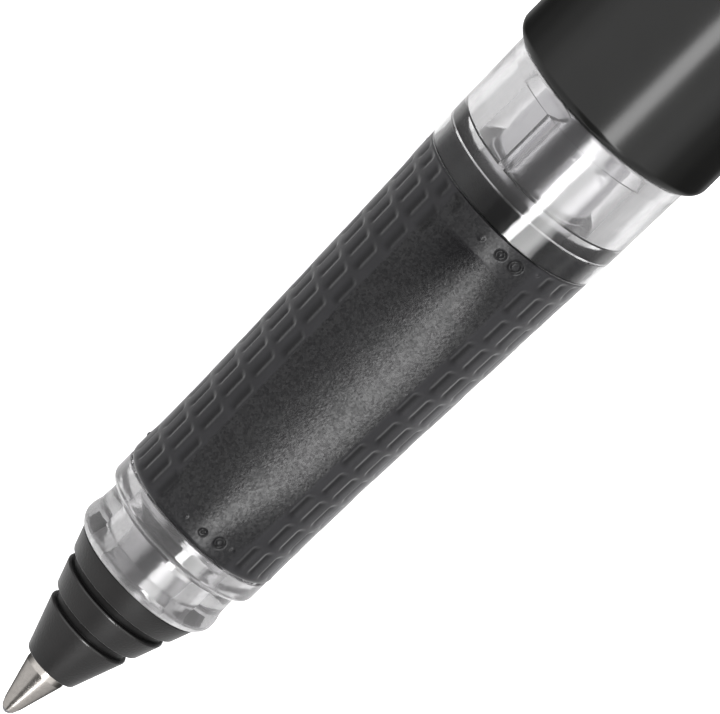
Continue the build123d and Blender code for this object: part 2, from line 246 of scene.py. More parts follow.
# clear plastic
CLEAR_HAZE = (
    # x, share of frost
    (9.6, 0.12), (10.3, 0.2), (11.3, 0.2), (12.0, 0.1), (14.2, 0.15), (14.6, 0.0), (38.1, 0.0), (38.5, 0.07),
    (42.0, 0.05),
)
INNER_SATIN = 0.12      # roughness of the clear plastic's inner walls; the outside is polished
INNER_WALL_R = 3.95

# floor
FLOOR_HALF = 1.5        # metres
FLOOR_GLOW = 0.93


# ---------------------------------------------------------------- shapes

def rounded(corners):
    """Closed outline with arcs at its corners. A corner is (x, r) or (x, r, arc radius)."""
    out = []
    for i, corner in enumerate(corners):
        here = Vector(corner[:2])
        if len(corner) == 2:
            out.append(tuple(here))
            continue
        radius = corner[2]
        before = (Vector(corners[i - 1][:2]) - here).normalized()
        after = (Vector(corners[(i + 1) % len(corners)][:2]) - here).normalized()
        half = before.angle(after) / 2
        reach = radius / math.tan(half)
        centre = here + (before + after).normalized() * radius / math.sin(half)
        start = here + before * reach - centre
        end = here + after * reach - centre
        turn = start.angle_signed(end)
        for step in range(ARC_STEPS + 1):
            angle = -turn * step / ARC_STEPS
            c, s = math.cos(angle), math.sin(angle)
            point = centre + Vector((start.x * c - start.y * s, start.x * s + start.y * c))
            out.append(tuple(point))
    return out


def smooth(low, high, value):
    """0 below low, 1 above high, and a smooth step between."""
    t = np.clip((value - low) / (high - low), 0, 1)
    return t * t * (3 - 2 * t)


def grid_mesh(name, points):
    """Mesh of a (rows, columns, 3) grid that closes round its columns and along its rows."""
    rows, columns = points.shape[:2]
    row, column = np.meshgrid(np.arange(rows), np.arange(columns), indexing="ij")
    next_row, next_column = (row + 1) % rows, (column + 1) % columns
    corners = ((row, column), (next_row, column), (next_row, next_column), (row, next_column))
    quads = np.stack([a * columns + b for a, b in corners], -1).reshape(-1, 4)
    mesh = bpy.data.meshes.new(name)
    mesh.vertices.add(rows * columns)
    mesh.vertices.foreach_set("co", points.astype(np.float32).ravel())
    mesh.loops.add(len(quads) * 4)
    mesh.loops.foreach_set("vertex_index", quads.astype(np.int32).ravel())
    mesh.polygons.add(len(quads))
    mesh.polygons.foreach_set("loop_start", np.arange(0, len(quads) * 4, 4, dtype=np.int32))
    mesh.update(calc_edges=True)
    mesh.validate()
    return mesh


def around(x, r, turns):
    """Points in metres at x and r (millimetres) and turns (radians from +Z towards -Y)."""
    return np.stack((x, -r * np.sin(turns), r * np.cos(turns)), -1) * MM


def tidy_mesh(obj, sharp_angle):
    """Merges points that meet on the axis, points the faces outwards and smooths the shading."""
    work = bmesh.new()
    work.from_mesh(obj.data)
    bmesh.ops.remove_doubles(work, verts=work.verts, dist=WELD)
    bmesh.ops.dissolve_degenerate(work, edges=work.edges, dist=SLIVER)
    bmesh.ops.recalc_face_normals(work, faces=work.faces)
    work.to_mesh(obj.data)
    work.free()
    obj.data.shade_smooth()
    obj.data.set_sharp_from_angle(angle=math.radians(sharp_angle))


def lathe(name, outline, material, body, node, shape=None, segments=ROUND):
    """Piece turned about X from a closed outline; shape(x, r, turns) can change the radius."""
    outline = np.array(outline, float)
    turns = np.linspace(0, 2 * math.pi, segments, endpoint=False)
    x, t = np.meshgrid(outline[:, 0], turns, indexing="ij")
    r = np.repeat(outline[:, 1][:, None], segments, 1)
    if shape:
        r = shape(x, r, t)
    add_piece(name, grid_mesh(name, around(x, r, t)), material, body, node)


def add_piece(name, mesh, material, body, node, sharp=35):
    """Puts a mesh in the scene as a piece of the pen that rides on a body and stands for a CAD node."""
    obj = bpy.data.objects.new(name, mesh)
    bpy.context.scene.collection.objects.link(obj)
    tidy_mesh(obj, sharp)
    obj.data.materials.clear()
    obj.data.materials.append(material)
    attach(obj, body)
    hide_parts(node)
    return obj


# ---------------------------------------------------------------- materials

class Nodes:
    """Adds and links the shader nodes of one material or world."""

    def __init__(self, tree):
        self.tree = tree
        tree.nodes.clear()

    def add(self, kind, links=None, **values):
        """New node with its inputs linked, and its other inputs and settings given by name."""
        node = self.tree.nodes.new(kind)
        for key, value in values.items():
            if key in node.inputs.keys():
                node.inputs[key].default_value = value
            else:
                setattr(node, key, value)
        for key, source in (links or {}).items():
            self.tree.links.new(source, node.inputs[key])
        return node

    def math(self, operation, first, second=0.0):
        """Result of an operation on one or two numbers or outputs."""
        node = self.tree.nodes.new("ShaderNodeMath")
        node.operation = operation
        for index, value in enumerate((first, second)):
            if isinstance(value, (int, float)):
                node.inputs[index].default_value = value
            else:
                self.tree.links.new(value, node.inputs[index])
        return node.outputs[0]

    def mix(self, share, first, second):
        """First where share is 0, and second where it is 1."""
        rest = self.math("MULTIPLY", first, self.math("SUBTRACT", 1.0, share))
        return self.math("ADD", rest, self.math("MULTIPLY", second, share))

    def vector(self, operation, first, second=None):
        """Result of an operation on vectors, where the second may be a tuple or an output."""
        node = self.add("ShaderNodeVectorMath", {0: first}, operation=operation)
        if isinstance(second, tuple):
            node.inputs[1].default_value = second
        elif second is not None:
            self.tree.links.new(second, node.inputs[1])
        return node.outputs["Value" if operation in ("DOT_PRODUCT", "LENGTH") else "Vector"]

    def x_of(self, vector):
        """X part of a vector, which for a place is the distance along the pen."""
        return self.add("ShaderNodeSeparateXYZ", {0: vector}).outputs["X"]

    def ramp(self, source, stops, smooth_steps=True):
        """Colour against a number from 0 to 1, with stops of (number, colour or grey value)."""
        node = self.tree.nodes.new("ShaderNodeValToRGB")
        node.color_ramp.interpolation = "EASE" if smooth_steps else "LINEAR"
        while len(node.color_ramp.elements) < len(stops):
            node.color_ramp.elements.new(0.5)
        for element, (position, colour) in zip(node.color_ramp.elements, stops):
            element.position = position
            element.color = grey(colour) if isinstance(colour, (int, float)) else colour
        self.tree.links.new(source, node.inputs[0])
        return node.outputs["Color"]


def grey(value):
    """Colour with equal red, green and blue."""
    return (value, value, value, 1.0)


def new_material(name):
    """Empty material and its nodes."""
    material = bpy.data.materials.new(name)
    material.use_nodes = True
    return material, Nodes(material.node_tree)


def place(nodes, scale=(1, 1, 1)):
    """Object coordinates in millimetres, stretched by scale."""
    coordinates = nodes.add("ShaderNodeTexCoord")
    return nodes.add(
        "ShaderNodeMapping",
        {"Vector": coordinates.outputs["Object"]},
        Scale=tuple(s / MM for s in scale),
    ).outputs[0]


def noise(nodes, vector, scale, detail=3.0, roughness=0.5):
    """Cloudy noise from 0 to 1."""
    return nodes.add(
        "ShaderNodeTexNoise", {"Vector": vector}, Scale=scale, Detail=detail, Roughness=roughness
    ).outputs["Fac"]


def crosswise(nodes, vector):
    """Direction of a vector in the plane across the pen."""
    return nodes.vector("NORMALIZE", nodes.vector("MULTIPLY", vector, (0, 1, 1)))


def bump(nodes, height, distance):
    """Direction of a bumpy surface whose bumps are distance high, in metres."""
    return nodes.add("ShaderNodeBump", {"Height": height}, Distance=distance, Strength=1.0).outputs["Normal"]


def tinted(colour, share):
    """A colour with its red, green and blue multiplied by share, none above 1."""
    return tuple(min(1.0, part * share) for part in colour) + (1.0,)


def finish_material(nodes, shader):
    """Puts the shader on the surface."""
    nodes.add("ShaderNodeOutputMaterial", {"Surface": shader})


def moulded_plastic(name, colour, roughness, grain_size, grain_depth, wear=0.05, sheen=0.0, specular=0.5,
                    polished=()):
    """Opaque moulded plastic: fine grain, cloudy gloss, faint rubbed patches and painted shade in its
    grooves.

    The sizes of the grain are in millimetres, and polished lists the x of edges that are rubbed shiny.
    """
    material, nodes = new_material(name)
    where = place(nodes)
    cloud = noise(nodes, where, scale=0.35, detail=2.0)
    fine = noise(nodes, where, scale=1.0 / grain_size, detail=2.0, roughness=0.6)
    rubbed = noise(nodes, place(nodes, (0.12, 2.2, 2.2)), scale=1.0, detail=4.0, roughness=0.65)
    gloss = nodes.math("ADD", nodes.math("MULTIPLY", cloud, wear), roughness - wear / 2)
    gloss = nodes.math("ADD", gloss, nodes.math("MULTIPLY", rubbed, wear * 0.6))
    tint = nodes.ramp(cloud, ((0.3, tinted(colour, 0.9)), (0.7, tinted(colour, 1.1))))
    # painted shade: grooves and inner corners are open to less light, so their colour, specular and sheen are
    # darkened
    cavity = nodes.add("ShaderNodeAmbientOcclusion", Distance=GROOVE_REACH * MM, samples=8).outputs["AO"]
    open_share = nodes.math("POWER", cavity, 2.5)
    spark = specular
    if polished:
        along = nodes.x_of(where)
        for edge in polished:
            off = nodes.math("ABSOLUTE", nodes.math("SUBTRACT", along, edge))
            near = nodes.math("LESS_THAN", off, EDGE_POLISH)
            gloss = nodes.math("SUBTRACT", gloss, nodes.math("MULTIPLY", near, roughness * 0.65))
            spark = nodes.math("ADD", spark, nodes.math("MULTIPLY", near, 0.5))
    shader = nodes.add(
        "ShaderNodeBsdfPrincipled",
        {
            "Base Color": nodes.vector("MULTIPLY", tint, open_share),
            "Roughness": gloss,
            "Normal": bump(nodes, fine, grain_depth * MM),
            "Specular IOR Level": nodes.math("MULTIPLY", open_share, spark),
            "Sheen Weight": nodes.math("MULTIPLY", open_share, sheen),
        },
        **{"IOR": 1.5, "Sheen Roughness": 0.35},
    )
    finish_material(nodes, shader.outputs[0])
    return material


def rubber(name, pad_colour, band_colour, painted_sheen_colour):
    """Black rubber: smooth matt bands with a painted sheen that pales them towards the sides, and
    spark-eroded finger pads.
    """
    material, nodes = new_material(name)
    where = place(nodes)
    exposed = nodes.math("LESS_THAN", nodes.x_of(where), COLLAR_FRONT)
    grain = nodes.add("ShaderNodeAttribute", attribute_name="grain").outputs["Fac"]
    coarse = noise(nodes, where, scale=13.0, detail=3.0, roughness=0.7)
    sparks = nodes.x_of(nodes.add("ShaderNodeTexVoronoi", {"Vector": where}, Scale=8.5).outputs["Color"])
    sparks = nodes.math("MULTIPLY", nodes.math("ADD", nodes.math("MULTIPLY", sparks, 0.28), 0.1), grain)
    sparks = nodes.math("ADD", sparks, 0.2)
    fine = noise(nodes, where, scale=26.0, detail=2.0, roughness=0.6)
    height = nodes.math("MULTIPLY", coarse, grain)
    height = nodes.math("ADD", height, nodes.math("MULTIPLY", fine, 0.08))
    height = nodes.math("MULTIPLY", height, exposed)
    cloud = noise(nodes, where, scale=0.5)
    rough = nodes.math("ADD", nodes.math("MULTIPLY", cloud, 0.08), 0.4)
    rough = nodes.math("SUBTRACT", rough, nodes.math("MULTIPLY", grain, 0.17))
    # painted sheen: the bands' colour pales towards the sides, as seen along the rays that meet them
    incoming = nodes.add("ShaderNodeNewGeometry").outputs["Incoming"]
    seen_from = nodes.add("ShaderNodeVectorTransform", {0: incoming}, vector_type="VECTOR",
                          convert_from="WORLD", convert_to="OBJECT").outputs[0]
    towards = nodes.vector("DOT_PRODUCT", crosswise(nodes, where), crosswise(nodes, seen_from))
    facing = nodes.math("SUBTRACT", 1.0, towards)
    pale = nodes.math("MULTIPLY", nodes.math("POWER", facing, 4.0), nodes.math("SUBTRACT", exposed, grain))
    band = nodes.ramp(pale, ((0.0, band_colour), (1.0, painted_sheen_colour)), smooth_steps=False)
    worn = nodes.ramp(cloud, ((0.25, 0.85), (0.75, 1.1)))
    tint = nodes.add("ShaderNodeMixRGB", {0: grain, 1: band}, Color2=pad_colour).outputs[0]
    tint = nodes.vector("MULTIPLY", tint, worn)
    # painted shade in the slots and rings: their colour is darkened by their share of dent
    dent = nodes.add("ShaderNodeAttribute", attribute_name="dent").outputs["Fac"]
    shade = nodes.math("SUBTRACT", 1.0, nodes.math("MULTIPLY", dent, DENT_SHADE))
    tint = nodes.vector("MULTIPLY", tint, shade)
    shader = nodes.add(
        "ShaderNodeBsdfPrincipled",
        {
            "Base Color": tint,
            "Roughness": rough,
            "Normal": bump(nodes, height, 0.005 * MM),
            "Specular IOR Level": nodes.math("MULTIPLY", exposed, sparks),
            "Sheen Weight": nodes.math("MULTIPLY", nodes.math("SUBTRACT", exposed, grain), 0.6),
        },
        **{"IOR": 1.5, "Sheen Roughness": 0.35},
    )
    finish_material(nodes, shader.outputs[0])
    return material


def clear_plastic(name):
    """Clear moulded plastic, frosted in places, that lets the studio light through to the pieces inside."""
    material, nodes = new_material(name)
    where = place(nodes)
    along = nodes.x_of(where)
    at_front = nodes.math("LESS_THAN", along, (FLANGE_REAR + COLLAR_FRONT) / 2)
    off_axis = nodes.vector("LENGTH", nodes.vector("MULTIPLY", where, (0, 1, 1)))
    inner = nodes.math("LESS_THAN", off_axis, INNER_WALL_R)
    ripple = noise(nodes, where, scale=0.6, detail=2.0)
    flow = noise(nodes, place(nodes, (2.2, 0.5, 0.5)), scale=1.0, detail=3.0, roughness=0.6)
    ripple = nodes.math("ADD", ripple, nodes.math("MULTIPLY", flow, nodes.math("MULTIPLY", at_front, 0.6)))
    streaks = noise(nodes, place(nodes, (0.2, 2.5, 2.5)), scale=1.0, detail=4.0, roughness=0.6)
    tint = nodes.ramp(streaks, ((0.3, (0.92, 0.915, 0.925, 1)), (0.7, (0.98, 0.975, 0.98, 1))))
    glass = nodes.add(
        "ShaderNodeBsdfPrincipled",
        {
            "Base Color": tint,
            "Normal": bump(nodes, ripple, 0.02 * MM),
            "Roughness": nodes.math("MULTIPLY", inner, INNER_SATIN),
        },
        **{"IOR": 1.5, "Transmission Weight": 1.0},
    )
    along = nodes.math("DIVIDE", along, SECTION_END)
    scuffed = nodes.ramp(along, tuple((x / SECTION_END, haze) for x, haze in CLEAR_HAZE), smooth_steps=False)
    scuffed = nodes.math("MULTIPLY", scuffed, nodes.ramp(streaks, ((0.3, 0.75), (0.7, 1.0))))
    # the way through the haze is longest at the sides
    facing = nodes.add("ShaderNodeLayerWeight", Blend=0.5).outputs["Facing"]
    scuffed = nodes.math("MULTIPLY", scuffed, nodes.math("ADD", nodes.math("MULTIPLY", facing, 2.5), 0.3))
    frost = nodes.add("ShaderNodeBsdfDiffuse", Color=(0.62, 0.612, 0.62, 1))
    glass = nodes.add("ShaderNodeMixShader", {0: scuffed, 1: glass.outputs[0], 2: frost.outputs[0]})
    # shadow rays and soft light pass straight through
    through = nodes.add("ShaderNodeBsdfTransparent", Color=(0.9, 0.9, 0.905, 1))
    path = nodes.add("ShaderNodeLightPath")
    lit = nodes.math("MAXIMUM", path.outputs["Is Shadow Ray"], path.outputs["Is Diffuse Ray"])
    mixed = nodes.add("ShaderNodeMixShader", {0: lit, 1: glass.outputs[0], 2: through.outputs[0]})
    finish_material(nodes, mixed.outputs[0])
    return material


def turned_metal(name, colour, roughness):
    """Turned metal: fine rings round the axis and a few scratches."""
    material, nodes = new_material(name)
    rings = noise(nodes, place(nodes, (14.0, 0.05, 0.05)), scale=1.0, detail=3.0, roughness=0.7)
    where = place(nodes)
    scratch = noise(nodes, where, scale=4.0, detail=4.0, roughness=0.7)
    rough = nodes.math("ADD", nodes.math("MULTIPLY", scratch, 0.12), roughness)
    tint = nodes.ramp(scratch, ((0.3, tinted(colour, 0.88)), (0.7, tinted(colour, 1.0))))
    shader = nodes.add(
        "ShaderNodeBsdfPrincipled",
        {"Base Color": tint, "Roughness": rough, "Normal": bump(nodes, rings, 0.006 * MM)},
        **{"Metallic": 1.0},
    )
    finish_material(nodes, shader.outputs[0])
    return material


def milky_plastic(name, colour, scatter, silver=0.0):
    """Translucent pale plastic, with a silvery satin surface if asked."""
    material, nodes = new_material(name)
    where = place(nodes)
    cloud = noise(nodes, where, scale=0.8)
    tint = nodes.ramp(cloud, ((0.3, tinted(colour, 0.94)), (0.7, tinted(colour, 1.0))))
    shader = nodes.add(
        "ShaderNodeBsdfPrincipled",
        {"Base Color": tint, "Normal": bump(nodes, noise(nodes, where, scale=3.0), 0.01 * MM)},
        **{"Roughness": 0.3 - 0.1 * silver, "Metallic": silver, "Subsurface Weight": scatter,
           "Subsurface Radius": (0.6, 0.6, 0.6), "Subsurface Scale": MM},
    )
    finish_material(nodes, shader.outputs[0])
    return material


MATT_BLACK = moulded_plastic(
    "matt_black_plastic", (0.014, 0.0132, 0.0132), roughness=0.38, grain_size=0.12, grain_depth=0.012,
    sheen=0.8, specular=0.4, polished=[front - EDGE_POLISH_LEAD for front, _ in NOSE_GROOVES],
)
GLOSS_BLACK = moulded_plastic(
    "gloss_black_plastic", (0.007, 0.007, 0.0066), roughness=0.18, grain_size=0.5, grain_depth=0.001,
    wear=0.04,
)
SEAL_RUBBER = moulded_plastic(
    "seal_rubber", (0.015, 0.015, 0.015), roughness=0.55, grain_size=0.2, grain_depth=0.01,
)
INK = moulded_plastic("black_ink", (0.008, 0.008, 0.01), roughness=0.1, grain_size=0.8, grain_depth=0.001)
# the pale colour of the bands' sides is a painted sheen
RUBBER = rubber(
    "black_rubber", pad_colour=(0.006, 0.0058, 0.0067, 1), band_colour=(0.031, 0.0305, 0.033, 1),
    painted_sheen_colour=(0.65, 0.645, 0.66, 1),
)
CLEAR = clear_plastic("clear_plastic")
STEEL = turned_metal("stainless_steel", (0.7, 0.66, 0.62), roughness=0.16)
CARBIDE = turned_metal("tungsten_carbide", (0.5, 0.5, 0.52), roughness=0.08)
MILKY = milky_plastic("milky_plastic", (0.9, 0.895, 0.9), scatter=0.1, silver=0.85)
TUBE_GREY = milky_plastic("tube_grey", (0.93, 0.925, 0.94), scatter=0.03, silver=0.92)
LINER = milky_plastic("liner_plastic", (0.8, 0.8, 0.79), scatter=0.2)
GREASE = milky_plastic("clear_grease", (0.8, 0.76, 0.6), scatter=0.5)


# ---------------------------------------------------------------- pieces

def nose_r(x):
    """Outside radius of the nose cone, which ends flush with its CAD rear edge."""
    return NOSE_R + NOSE_SLOPE * (x - NOSE_REAR)


def build_nose():
    """Matt cone with two narrow grooves, hollow for the section's spigot and the refill."""
    outside = [(NOSE_FRONT, nose_r(NOSE_FRONT), 0.1)]
    for front, rear in NOSE_GROOVES:
        outside += [
            (front, nose_r(front), 0.13),
            (front, nose_r(front) - GROOVE_DEPTH, 0.05),
            (rear, nose_r(rear) - GROOVE_DEPTH, 0.05),
            (rear, nose_r(rear), 0.06),
        ]
    outside.append((NOSE_REAR, NOSE_R, 0.05))
    inside = [
        (NOSE_REAR, SPIGOT_R),
        (SECTION_FRONT, SPIGOT_R),
        (SECTION_FRONT, JOINER_HOLE_R),
        (JOINER_FRONT, JOINER_HOLE_R),
        (JOINER_FRONT, SHANK_R + REFILL_GAP),
        (NOSE_FRONT, SHANK_R + REFILL_GAP, 0.06),
    ]
    lathe("nose_cone_shell", rounded(outside + inside), MATT_BLACK, "section",
          "nose_cone")


def build_point():
    """Turned point: a slim lip round the ball, the cone and the shank, with the seat and holes inside."""
    cone_end = POINT_FRONT + (SHANK_R - POINT_CONE_R) / POINT_TAPER
    outline = [
        (POINT_FRONT, POINT_MOUTH_R),
        (POINT_FRONT, POINT_LIP_R, 0.01),
        (POINT_LIP_END, POINT_CONE_R + (POINT_LIP_END - POINT_FRONT) * POINT_TAPER, 0.3),
        (cone_end, SHANK_R, 0.4),
        (SHANK_END, SHANK_R),
        (SHANK_END, SPRING_HOLE_R),
        (SPRING_HOLE_FRONT, SPRING_HOLE_R),
        (SPRING_HOLE_FRONT, INK_HOLE_R),
        (SEAT_REAR, INK_HOLE_R),
        (SEAT_FRONT, SEAT_R),
    ]
    lathe("point_cone", rounded(outline), STEEL, "refill", "tip_socket",
          segments=THIN_ROUND)


def build_ball():
    """Writing ball, turned from a half circle."""
    centre = (BALL_FRONT + BALL_REAR) / 2
    outline = [
        (centre - BALL_R * math.cos(angle), BALL_R * math.sin(angle)) for angle in np.linspace(0, math.pi, 40)
    ]
    lathe("carbide_ball", outline, CARBIDE, "ball", "writing_ball", segments=BALL_ROUND)


def section_core_r(x):
    """Outside radius of the clear section under the grip, which widens towards the tail."""
    along = (x - FLANGE_REAR) / (COLLAR_FRONT - FLANGE_REAR)
    return CORE_FRONT_R + along * (CORE_REAR_R - CORE_FRONT_R)


def arc_points(start, middle, end, count=12):
    """Points of the circle through three (x, r) points, without the last one."""
    (ax, ay), (bx, by), (cx, cy) = start, middle, end
    d = 2 * (ax * (by - cy) + bx * (cy - ay) + cx * (ay - by))
    sa, sb, sc = ax * ax + ay * ay, bx * bx + by * by, cx * cx + cy * cy
    ux = (sa * (by - cy) + sb * (cy - ay) + sc * (ay - by)) / d
    uy = (sa * (cx - bx) + sb * (ax - cx) + sc * (bx - ax)) / d
    radius = math.hypot(ax - ux, ay - uy)
    first = math.atan2(ay - uy, ax - ux)
    last = math.atan2(cy - uy, cx - ux)
    angles = [first + (last - first) * i / count for i in range(count)]
    return [(ux + radius * math.cos(angle), uy + radius * math.sin(angle)) for angle in angles]


def section_outline():
    """Outline of the clear section: spigot, lip, neck, flange, core, rear collar, thread and bore."""
    neck_front = (NECK_FRONT_X, NECK_FRONT_R)
    outline = [
        (SECTION_FRONT, SPIGOT_R - TOUCH_GAP),
        (NOSE_REAR + TOUCH_GAP, SPIGOT_R - TOUCH_GAP),
        *arc_points((NOSE_REAR, NOSE_R), LIP_RISE, (LIP_X, LIP_R)),
        *arc_points((LIP_X, LIP_R), LIP_FALL, neck_front),
        neck_front,
        (NECK_REAR_X, NECK_R, 0.12),
        (NECK_REAR_X, FLANGE_R, 0.4),
        (FLANGE_REAR, FLANGE_R, 0.05),
        (FLANGE_REAR, CORE_FRONT_R),
        (SKIRT_REAR + RUBBER_GAP, section_core_r(SKIRT_REAR)),
        (SKIRT_REAR + RUBBER_GAP, SKIRT_R, 0.05),
        (COLLAR_FRONT, SKIRT_R),
        (COLLAR_FRONT, COLLAR_FRONT_R, 0.12),
        (COLLAR_REAR, SECTION_R, 0.15),
        (COLLAR_REAR, THREAD_ROOT_R),
    ]
    for turn in range(THREAD_TURNS):
        ridge = THREAD_FRONT + turn * THREAD_PITCH
        outline += [
            (ridge, THREAD_ROOT_R),
            (ridge + THREAD_FLANK, THREAD_R),
            (ridge + THREAD_FLANK + THREAD_CREST, THREAD_R),
            (ridge + 2 * THREAD_FLANK + THREAD_CREST, THREAD_ROOT_R),
        ]
    return outline + [
        (SECTION_END, THREAD_ROOT_R, 0.1),
        (SECTION_END, REAR_BORE_R, 0.1),
        (CHAMBER_REAR, REAR_BORE_R),
        (CHAMBER_REAR, CHAMBER_R, 0.04),
        (CHAMBER_FRONT, CHAMBER_R, 0.2),
        (CHAMBER_FRONT, TUBE_HOLE_R),
        (TUBE_HOLE_FRONT, TUBE_HOLE_R),
        (TUBE_HOLE_FRONT, JOINER_HOLE_R),
        (SECTION_FRONT, JOINER_HOLE_R),
    ]


def with_ribs(x, r, turns):
    """The clear section's radius, brought in to the refill's tube at the ribs in the rear chamber."""
    along_chamber = (x > CHAMBER_FRONT - TOUCH_GAP) & (x < CHAMBER_REAR + TOUCH_GAP)
    in_chamber = along_chamber & (r > TUBE_HOLE_R) & (r < REAR_BORE_R)
    beyond = (np.degrees(turns) - RIB_TURN + RIB_EVERY / 2) % RIB_EVERY - RIB_EVERY / 2
    on_rib = np.abs(np.radians(beyond)) * r < RIB_HALF_WIDTH
    return np.where(in_chamber & on_rib, TUBE_HOLE_R, r)


def build_section():
    """Clear moulding that carries the nose cone, the grip and the barrel's thread."""
    lathe("clear_section", rounded(section_outline()), CLEAR, "section", "front_section",
          shape=with_ribs, segments=RIBBED_ROUND)


def build_refill():
    """Milky joiner round the point's shank, and the ink tube that is pressed over its tail."""
    joiner = [
        (JOINER_FRONT, SHANK_R),
        (JOINER_FRONT, JOINER_NOSE_R, 0.3),
        (JOINER_SLOPE_FRONT, JOINER_NOSE_R),
        (JOINER_SLOPE_REAR, JOINER_R, 0.3),
        (TUBE_FRONT, JOINER_R, 0.05),
        (TUBE_FRONT, TUBE_BORE_R - TOUCH_GAP),
        (JOINER_END, TUBE_BORE_R - TOUCH_GAP),
        (JOINER_END, SHANK_R),
        (SHANK_END + SHANK_STOP_LENGTH, SHANK_R),
        (SHANK_END + SHANK_STOP_LENGTH, SHANK_R - SHANK_STOP_HEIGHT),
        (SHANK_END, SHANK_R - SHANK_STOP_HEIGHT),
        (SHANK_END, SHANK_R),
    ]
    lathe("joiner", rounded(joiner), MILKY, "refill", "refill_joiner", segments=THIN_ROUND)
    tube = [
        (TUBE_FRONT + TOUCH_GAP, TUBE_BORE_R),
        (TUBE_FRONT + TOUCH_GAP, TUBE_R, 0.05),
        (TUBE_END, TUBE_R, 0.1),
        (TUBE_END, TUBE_BORE_R),
    ]
    lathe("ink_tube", rounded(tube), TUBE_GREY, "refill", "refill_tube", segments=THIN_ROUND)


def finger_pad(x, near_pad):
    """(inward depth, share of grain) of a pad that is flatter than the sleeve and fades out at its ends."""
    across = np.clip(np.abs(near_pad) / PAD_HALF_ANGLE, 0, 1)
    length = np.clip(np.abs(x - PAD_MIDDLE) / PAD_HALF_LENGTH, 0, 1)
    depth = PAD_DEPTH * (1 - across ** 2) * (1 - length ** 4)
    grain = smooth(0.0, PAD_RIM_DEPTH, depth)
    beyond_ends = END_GRAIN * smooth(0.98, 0.8, across)
    return depth, np.maximum(grain, beyond_ends)


def slot_dents(x, near_pad):
    """Share of dent of the slots, in columns along the pen, every second column shifted by half a row."""
    column = np.clip(np.round((x - SLOT_FIRST) / SLOT_PITCH), 0, SLOT_LAST)
    middle = SLOT_FIRST + column * SLOT_PITCH
    cut = column == SLOT_LAST
    middle = np.where(cut, middle - CUT_SLOT_SHIFT, middle)
    half_length = np.where(cut, CUT_SLOT_HALF_LENGTH, SLOT_HALF_LENGTH)
    first_row = np.where(column % 2 == 0, -SLOT_FIRST_ROW - SLOT_ROW / 2, -SLOT_FIRST_ROW)
    row = first_row + SLOT_ROW * np.round((near_pad - first_row) / SLOT_ROW)
    # distance from the slot's rounded edge, negative inside
    dx = np.abs(x - middle) - (half_length - SLOT_CORNER)
    dy = np.abs(np.radians(near_pad - row)) * GRIP_MEAN_R - (SLOT_HALF_WIDTH - SLOT_CORNER)
    edge = np.hypot(np.maximum(dx, 0), np.maximum(dy, 0)) + np.minimum(np.maximum(dx, dy), 0) - SLOT_CORNER
    near_end = (column == 0) | (column == SLOT_LAST - 1)
    nearest = np.where(cut, CUT_SLOT_NEAREST, np.where(near_end, END_SLOT_NEAREST, SLOT_NEAREST))
    kept = (np.abs(row) > nearest) & ~(cut & (row > 0) & (row < SLOT_NEAREST))
    return kept * smooth(-SLOT_WALL / 2, SLOT_WALL / 2, -edge)


def grip_texture(x, turns):
    """(inward depth in millimetres, share of grain, share of dent) of the grip's outside."""
    degrees = np.degrees(turns) - PAD_TURN
    near_pad = (degrees + PAD_EVERY / 2) % PAD_EVERY - PAD_EVERY / 2
    depth, grain = finger_pad(x, near_pad)
    dent = slot_dents(x, near_pad)
    depth = depth + SLOT_DEPTH * dent
    # moulded dots and rings beside the pad
    for dot_x, dot_turn, size, is_ring in GRIP_DOTS:
        away = np.hypot(x - dot_x, np.radians(near_pad - dot_turn) * GRIP_MEAN_R)
        if is_ring:
            ring = smooth(RING_HALF_WIDTH, 0.0, np.abs(away - (size - RING_INSET)))
            depth = depth + RING_DEPTH * ring
            dent = np.maximum(dent, ring)
        else:
            depth = depth - DOT_HEIGHT * smooth(size, size * DOT_FLAT, away)
    return depth, grain, dent


def build_grip():
    """Rubber sleeve: rounded front edge, textured outside, and a skirt tucked inside the rear collar."""
    curve_x, curve_r = zip(*GRIP_CURVE)
    curve = np.polyfit(curve_x, curve_r, GRIP_CURVE_DEGREE)
    along = np.arange(curve_x[0], curve_x[-1], GRIP_ROW)
    edge_r = curve_x[0] - GRIP_FRONT
    bend = np.linspace(math.pi, math.pi / 2, GRIP_EDGE_STEPS + 1)[:-1]
    edge_x = GRIP_FRONT + edge_r + edge_r * np.cos(bend)
    edge_y = np.polyval(curve, curve_x[0]) - edge_r + edge_r * np.sin(bend)
    neck = COLLAR_FRONT - RUBBER_GAP
    neck_r = np.polyval(curve, neck)
    skirt_r = SKIRT_R - RUBBER_GAP
    tail = [
        (neck - GRIP_BEVEL, neck_r - GRIP_BEVEL),
        (neck, neck_r - 3 * GRIP_BEVEL),
        (neck, skirt_r + GRIP_BEVEL),
        (neck + GRIP_BEVEL, skirt_r),
        (SKIRT_REAR, skirt_r),
        (SKIRT_REAR, section_core_r(SKIRT_REAR) + RUBBER_GAP),
        (GRIP_FRONT, section_core_r(GRIP_FRONT) + RUBBER_GAP),
    ]
    tail_x, tail_r = zip(*tail)
    xs = np.concatenate((edge_x, along, tail_x))
    rs = np.concatenate((edge_y, np.polyval(curve, along), tail_r))
    turns = np.linspace(0, 2 * math.pi, GRIP_COLUMNS, endpoint=False)
    x, t = np.meshgrid(xs, turns, indexing="ij")
    r = np.repeat(rs[:, None], GRIP_COLUMNS, 1)
    depth, grain, _ = grip_texture(x, t)
    textured = np.zeros(len(xs))
    textured[len(edge_x):len(edge_x) + len(along)] = 1.0
    rough = np.random.default_rng(GRAIN_SEED).standard_normal(r.shape)
    r = r - (depth + GRAIN_HEIGHT * grain * rough) * textured[:, None]
    mesh = grid_mesh("grip_sleeve", around(x, r, t))
    obj = add_piece("grip_sleeve", mesh, RUBBER, "section", "rubber_grip", sharp=60)
    add_shares(obj.data)


